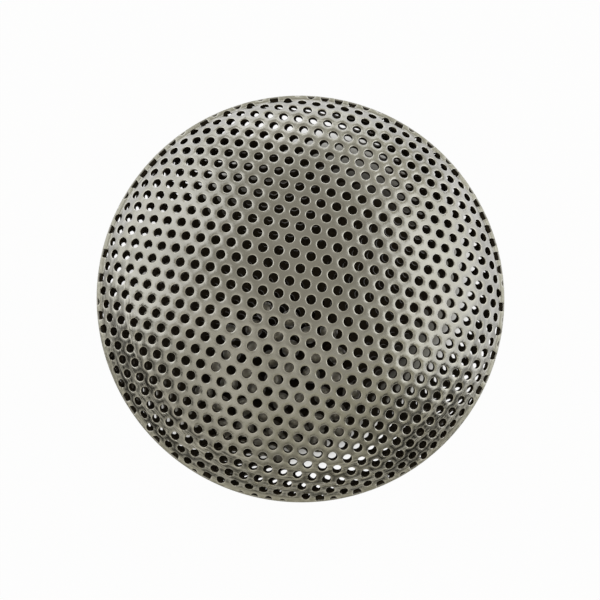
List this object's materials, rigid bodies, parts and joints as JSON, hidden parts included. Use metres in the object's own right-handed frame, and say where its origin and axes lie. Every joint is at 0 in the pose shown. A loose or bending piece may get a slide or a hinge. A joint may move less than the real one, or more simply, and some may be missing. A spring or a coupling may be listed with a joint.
{
  "type": "percussion shaker",
  "caption": "Round lens-shaped percussion shaker: two domed shells of perforated steel joined flange to flange, with loose steel balls inside that rattle when it is shaken.",
  "frame": {"origin": "middle of the small flat on the rear shell, on which the shaker lies", "axes": "+Z out of the front dome, +Y up and +X right as seen from the front"},
  "size_m": [0.102, 0.102, 0.0437],
  "materials": {
    "shell_steel": "semi-gloss, lightly scuffed",
    "ball_steel": "polished"
  },
  "bodies": {
    "shells": {"front_shell": "shell_steel", "rear_shell": "shell_steel"},
    "ball_01": {"ball_01": "ball_steel"},
    "ball_02": {"ball_02": "ball_steel"},
    "ball_03": {"ball_03": "ball_steel"},
    "ball_04": {"ball_04": "ball_steel"},
    "ball_05": {"ball_05": "ball_steel"},
    "ball_06": {"ball_06": "ball_steel"},
    "ball_07": {"ball_07": "ball_steel"},
    "ball_08": {"ball_08": "ball_steel"},
    "ball_09": {"ball_09": "ball_steel"},
    "ball_10": {"ball_10": "ball_steel"},
    "ball_11": {"ball_11": "ball_steel"},
    "ball_12": {"ball_12": "ball_steel"},
    "ball_13": {"ball_13": "ball_steel"},
    "ball_14": {"ball_14": "ball_steel"},
    "ball_15": {"ball_15": "ball_steel"},
    "ball_16": {"ball_16": "ball_steel"},
    "ball_17": {"ball_17": "ball_steel"},
    "ball_18": {"ball_18": "ball_steel"},
    "ball_19": {"ball_19": "ball_steel"},
    "ball_20": {"ball_20": "ball_steel"},
    "ball_21": {"ball_21": "ball_steel"},
    "ball_22": {"ball_22": "ball_steel"},
    "ball_23": {"ball_23": "ball_steel"},
    "ball_24": {"ball_24": "ball_steel"},
    "ball_25": {"ball_25": "ball_steel"},
    "ball_26": {"ball_26": "ball_steel"},
    "ball_27": {"ball_27": "ball_steel"},
    "ball_28": {"ball_28": "ball_steel"},
    "ball_29": {"ball_29": "ball_steel"},
    "ball_30": {"ball_30": "ball_steel"},
    "ball_31": {"ball_31": "ball_steel"},
    "ball_32": {"ball_32": "ball_steel"},
    "ball_33": {"ball_33": "ball_steel"},
    "ball_34": {"ball_34": "ball_steel"},
    "ball_35": {"ball_35": "ball_steel"},
    "ball_36": {"ball_36": "ball_steel"},
    "ball_37": {"ball_37": "ball_steel"},
    "ball_38": {"ball_38": "ball_steel"},
    "ball_39": {"ball_39": "ball_steel"},
    "ball_40": {"ball_40": "ball_steel"}
  },
  "joints": [
    {"name": "ball_01_drop", "type": "slide", "parent": "shells", "child": "ball_01", "axis": [0, 0, 1], "range_m": [0, 0.03079]},
    {"name": "ball_02_drop", "type": "slide", "parent": "shells", "child": "ball_02", "axis": [0, 0, 1], "range_m": [0, 0.02737]},
    {"name": "ball_03_drop", "type": "slide", "parent": "shells", "child": "ball_03", "axis": [0, 0, 1], "range_m": [0, 0.03278]},
    {"name": "ball_04_drop", "type": "slide", "parent": "shells", "child": "ball_04", "axis": [0, 0, 1], "range_m": [0, 0.028]},
    {"name": "ball_05_drop", "type": "slide", "parent": "shells", "child": "ball_05", "axis": [0, 0, 1], "range_m": [0, 0.0279]},
    {"name": "ball_06_drop", "type": "slide", "parent": "shells", "child": "ball_06", "axis": [0, 0, 1], "range_m": [0, 0.03364]},
    {"name": "ball_07_drop", "type": "slide", "parent": "shells", "child": "ball_07", "axis": [0, 0, 1], "range_m": [0, 0.02369]},
    {"name": "ball_08_drop", "type": "slide", "parent": "shells", "child": "ball_08", "axis": [0, 0, 1], "range_m": [0, 0.03214]},
    {"name": "ball_09_drop", "type": "slide", "parent": "shells", "child": "ball_09", "axis": [0, 0, 1], "range_m": [0, 0.02983]},
    {"name": "ball_10_drop", "type": "slide", "parent": "shells", "child": "ball_10", "axis": [0, 0, 1], "range_m": [0, 0.0233]},
    {"name": "ball_11_drop", "type": "slide", "parent": "shells", "child": "ball_11", "axis": [0, 0, 1], "range_m": [0, 0.0353]},
    {"name": "ball_12_drop", "type": "slide", "parent": "shells", "child": "ball_12", "axis": [0, 0, 1], "range_m": [0, 0.02322]},
    {"name": "ball_13_drop", "type": "slide", "parent": "shells", "child": "ball_13", "axis": [0, 0, 1], "range_m": [0, 0.02826]},
    {"name": "ball_14_drop", "type": "slide", "parent": "shells", "child": "ball_14", "axis": [0, 0, 1], "range_m": [0, 0.03324]},
    {"name": "ball_15_drop", "type": "slide", "parent": "shells", "child": "ball_15", "axis": [0, 0, 1], "range_m": [0, 0.01935]},
    {"name": "ball_16_drop", "type": "slide", "parent": "shells", "child": "ball_16", "axis": [0, 0, 1], "range_m": [0, 0.03438]},
    {"name": "ball_17_drop", "type": "slide", "parent": "shells", "child": "ball_17", "axis": [0, 0, 1], "range_m": [0, 0.02591]},
    {"name": "ball_18_drop", "type": "slide", "parent": "shells", "child": "ball_18", "axis": [0, 0, 1], "range_m": [0, 0.02248]},
    {"name": "ball_19_drop", "type": "slide", "parent": "shells", "child": "ball_19", "axis": [0, 0, 1], "range_m": [0, 0.03598]},
    {"name": "ball_20_drop", "type": "slide", "parent": "shells", "child": "ball_20", "axis": [0, 0, 1], "range_m": [0, 0.01815]},
    {"name": "ball_21_drop", "type": "slide", "parent": "shells", "child": "ball_21", "axis": [0, 0, 1], "range_m": [0, 0.03037]},
    {"name": "ball_22_drop", "type": "slide", "parent": "shells", "child": "ball_22", "axis": [0, 0, 1], "range_m": [0, 0.03048]},
    {"name": "ball_23_drop", "type": "slide", "parent": "shells", "child": "ball_23", "axis": [0, 0, 1], "range_m": [0, 0.01685]},
    {"name": "ball_24_drop", "type": "slide", "parent": "shells", "child": "ball_24", "axis": [0, 0, 1], "range_m": [0, 0.03626]},
    {"name": "ball_25_drop", "type": "slide", "parent": "shells", "child": "ball_25", "axis": [0, 0, 1], "range_m": [0, 0.0206]},
    {"name": "ball_26_drop", "type": "slide", "parent": "shells", "child": "ball_26", "axis": [0, 0, 1], "range_m": [0, 0.02383]},
    {"name": "ball_27_drop", "type": "slide", "parent": "shells", "child": "ball_27", "axis": [0, 0, 1], "range_m": [0, 0.03487]},
    {"name": "ball_28_drop", "type": "slide", "parent": "shells", "child": "ball_28", "axis": [0, 0, 1], "range_m": [0, 0.01373]},
    {"name": "ball_29_drop", "type": "slide", "parent": "shells", "child": "ball_29", "axis": [0, 0, 1], "range_m": [0, 0.03312]},
    {"name": "ball_30_drop", "type": "slide", "parent": "shells", "child": "ball_30", "axis": [0, 0, 1], "range_m": [0, 0.02585]},
    {"name": "ball_31_drop", "type": "slide", "parent": "shells", "child": "ball_31", "axis": [0, 0, 1], "range_m": [0, 0.01647]},
    {"name": "ball_32_drop", "type": "slide", "parent": "shells", "child": "ball_32", "axis": [0, 0, 1], "range_m": [0, 0.03681]},
    {"name": "ball_33_drop", "type": "slide", "parent": "shells", "child": "ball_33", "axis": [0, 0, 1], "range_m": [0, 0.01478]},
    {"name": "ball_34_drop", "type": "slide", "parent": "shells", "child": "ball_34", "axis": [0, 0, 1], "range_m": [0, 0.02668]},
    {"name": "ball_35_drop", "type": "slide", "parent": "shells", "child": "ball_35", "axis": [0, 0, 1], "range_m": [0, 0.03184]},
    {"name": "ball_36_drop", "type": "slide", "parent": "shells", "child": "ball_36", "axis": [0, 0, 1], "range_m": [0, 0.01084]},
    {"name": "ball_37_drop", "type": "slide", "parent": "shells", "child": "ball_37", "axis": [0, 0, 1], "range_m": [0, 0.03563]},
    {"name": "ball_38_drop", "type": "slide", "parent": "shells", "child": "ball_38", "axis": [0, 0, 1], "range_m": [0, 0.01982]},
    {"name": "ball_39_drop", "type": "slide", "parent": "shells", "child": "ball_39", "axis": [0, 0, 1], "range_m": [0, 0.01821]},
    {"name": "ball_40_drop", "type": "slide", "parent": "shells", "child": "ball_40", "axis": [0, 0, 1], "range_m": [0, 0.0362]}
  ]
}
